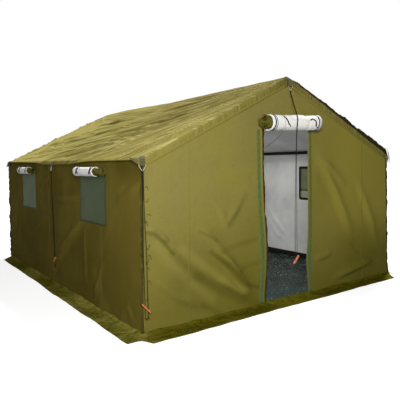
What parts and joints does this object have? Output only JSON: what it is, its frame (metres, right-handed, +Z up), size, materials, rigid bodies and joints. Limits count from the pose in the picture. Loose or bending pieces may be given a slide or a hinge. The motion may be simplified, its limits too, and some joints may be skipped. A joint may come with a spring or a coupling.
{
  "type": "canvas wall tent",
  "caption": "Ridge tent with upright canvas walls on a socketed steel tube frame, hung lining, rolled door and window flaps, and guy ropes on triangular rings.",
  "frame": {"origin": "on the ground, under the middle of the tent", "axes": "+Z up; +Y along the ridge from the front gable with the doorway to the rear gable; +X towards the right as seen from in front"},
  "size_m": [4.5401, 5.76, 2.7],
  "materials": {
    "canvas": "matte woven olive canvas",
    "lining": "matte off-white cloth",
    "flap_roll": "lined canvas rolled with its white lining outward",
    "net": "fine green insect net",
    "groundsheet": "glossy coated sheet, dark green",
    "frame_steel": "galvanised tube",
    "ring_steel": "bright zinc-plated wire",
    "rope": "braided olive-grey cord",
    "slide": "orange-red moulded plastic"
  },
  "bodies": {
    "tent": {"roof_canvas": "canvas", "front_wall": "canvas", "rear_wall": "canvas", "left_wall": "canvas", "right_wall": "canvas", "sod_cloth": "canvas", "groundsheet": "groundsheet", "inner_lining": "lining", "door_roll": "flap_roll", "window_roll_left_front": "flap_roll", "window_roll_left_rear": "flap_roll", "window_roll_right_front": "flap_roll", "window_roll_right_rear": "flap_roll", "window_net_left_front": "net", "window_net_left_rear": "net", "window_net_right_front": "net", "window_net_right_rear": "net", "ridge_pole_front": "frame_steel", "ridge_pole_rear": "frame_steel", "eave_pole_front_left": "frame_steel", "eave_pole_front_right": "frame_steel", "eave_pole_rear_left": "frame_steel", "eave_pole_rear_right": "frame_steel", "rafter_front_left": "frame_steel", "rafter_front_right": "frame_steel", "rafter_middle_left": "frame_steel", "rafter_middle_right": "frame_steel", "rafter_rear_left": "frame_steel", "rafter_rear_right": "frame_steel", "leg_front_left": "frame_steel", "leg_front_right": "frame_steel", "leg_middle_left": "frame_steel", "leg_middle_right": "frame_steel", "leg_rear_left": "frame_steel", "leg_rear_right": "frame_steel", "ridge_socket_front": "frame_steel", "ridge_socket_middle": "frame_steel", "ridge_socket_rear": "frame_steel", "eave_socket_front_left": "frame_steel", "eave_socket_front_right": "frame_steel", "eave_socket_middle_left": "frame_steel", "eave_socket_middle_right": "frame_steel", "eave_socket_rear_left": "frame_steel", "eave_socket_rear_right": "frame_steel"},
    "guy_front_left": {"ring_front_left": "ring_steel", "guy_rope_front_left": "rope"},
    "guy_left": {"ring_left": "ring_steel", "guy_rope_left": "rope"},
    "guy_ridge_front": {"ring_ridge_front": "ring_steel", "guy_rope_ridge_front": "rope"},
    "bare_ring_front_right": {"ring_front_right": "ring_steel"},
    "bare_ring_rear_left": {"ring_rear_left": "ring_steel"},
    "bare_ring_rear_right": {"ring_rear_right": "ring_steel"},
    "bare_ring_right": {"ring_right": "ring_steel"},
    "bare_ring_ridge_rear": {"ring_ridge_rear": "ring_steel"},
    "slide_front_left": {"rope_slide_front_left": "slide"},
    "slide_left": {"rope_slide_left": "slide"},
    "slide_ridge_front": {"rope_slide_ridge_front": "slide"}
  },
  "joints": [
    {"name": "guy_front_left_swing", "type": "hinge", "parent": "tent", "child": "guy_front_left", "pos_m": [-2.0225, -2.66627, 1.705], "axis": [-0.866, 0.5, 0], "range_deg": [0, 60]},
    {"name": "ring_front_right_swing", "type": "hinge", "parent": "tent", "child": "bare_ring_front_right", "pos_m": [2.0225, -2.66627, 1.705], "axis": [-0.866, -0.5, 0], "range_deg": [0, 120]},
    {"name": "guy_left_swing", "type": "hinge", "parent": "tent", "child": "guy_left", "pos_m": [-2.062, 0, 1.688], "axis": [0, 1, 0], "range_deg": [0, 60]},
    {"name": "guy_ridge_front_swing", "type": "hinge", "parent": "tent", "child": "guy_ridge_front", "pos_m": [0, -2.6723, 2.605], "axis": [-1, 0, 0], "range_deg": [0, 60]},
    {"name": "ring_rear_left_swing", "type": "hinge", "parent": "tent", "child": "bare_ring_rear_left", "pos_m": [-2.0225, 2.66627, 1.705], "axis": [0.866, 0.5, 0], "range_deg": [0, 120]},
    {"name": "ring_rear_right_swing", "type": "hinge", "parent": "tent", "child": "bare_ring_rear_right", "pos_m": [2.0225, 2.66627, 1.705], "axis": [0.866, -0.5, 0], "range_deg": [0, 120]},
    {"name": "ring_right_swing", "type": "hinge", "parent": "tent", "child": "bare_ring_right", "pos_m": [2.062, 0, 1.688], "axis": [0, -1, 0], "range_deg": [0, 120]},
    {"name": "ring_ridge_rear_swing", "type": "hinge", "parent": "tent", "child": "bare_ring_ridge_rear", "pos_m": [0, 2.6723, 2.605], "axis": [1, 0, 0], "range_deg": [0, 120]},
    {"name": "front_left_slide_travel", "type": "slide", "parent": "guy_front_left", "child": "slide_front_left", "axis": [0, 0, 1], "range_m": [0, 0.42]},
    {"name": "left_slide_travel", "type": "slide", "parent": "guy_left", "child": "slide_left", "axis": [0, 0, 1], "range_m": [0, 0.42]},
    {"name": "ridge_front_slide_travel", "type": "slide", "parent": "guy_ridge_front", "child": "slide_ridge_front", "axis": [0, 0, 1], "range_m": [0, 0.4]}
  ]
}
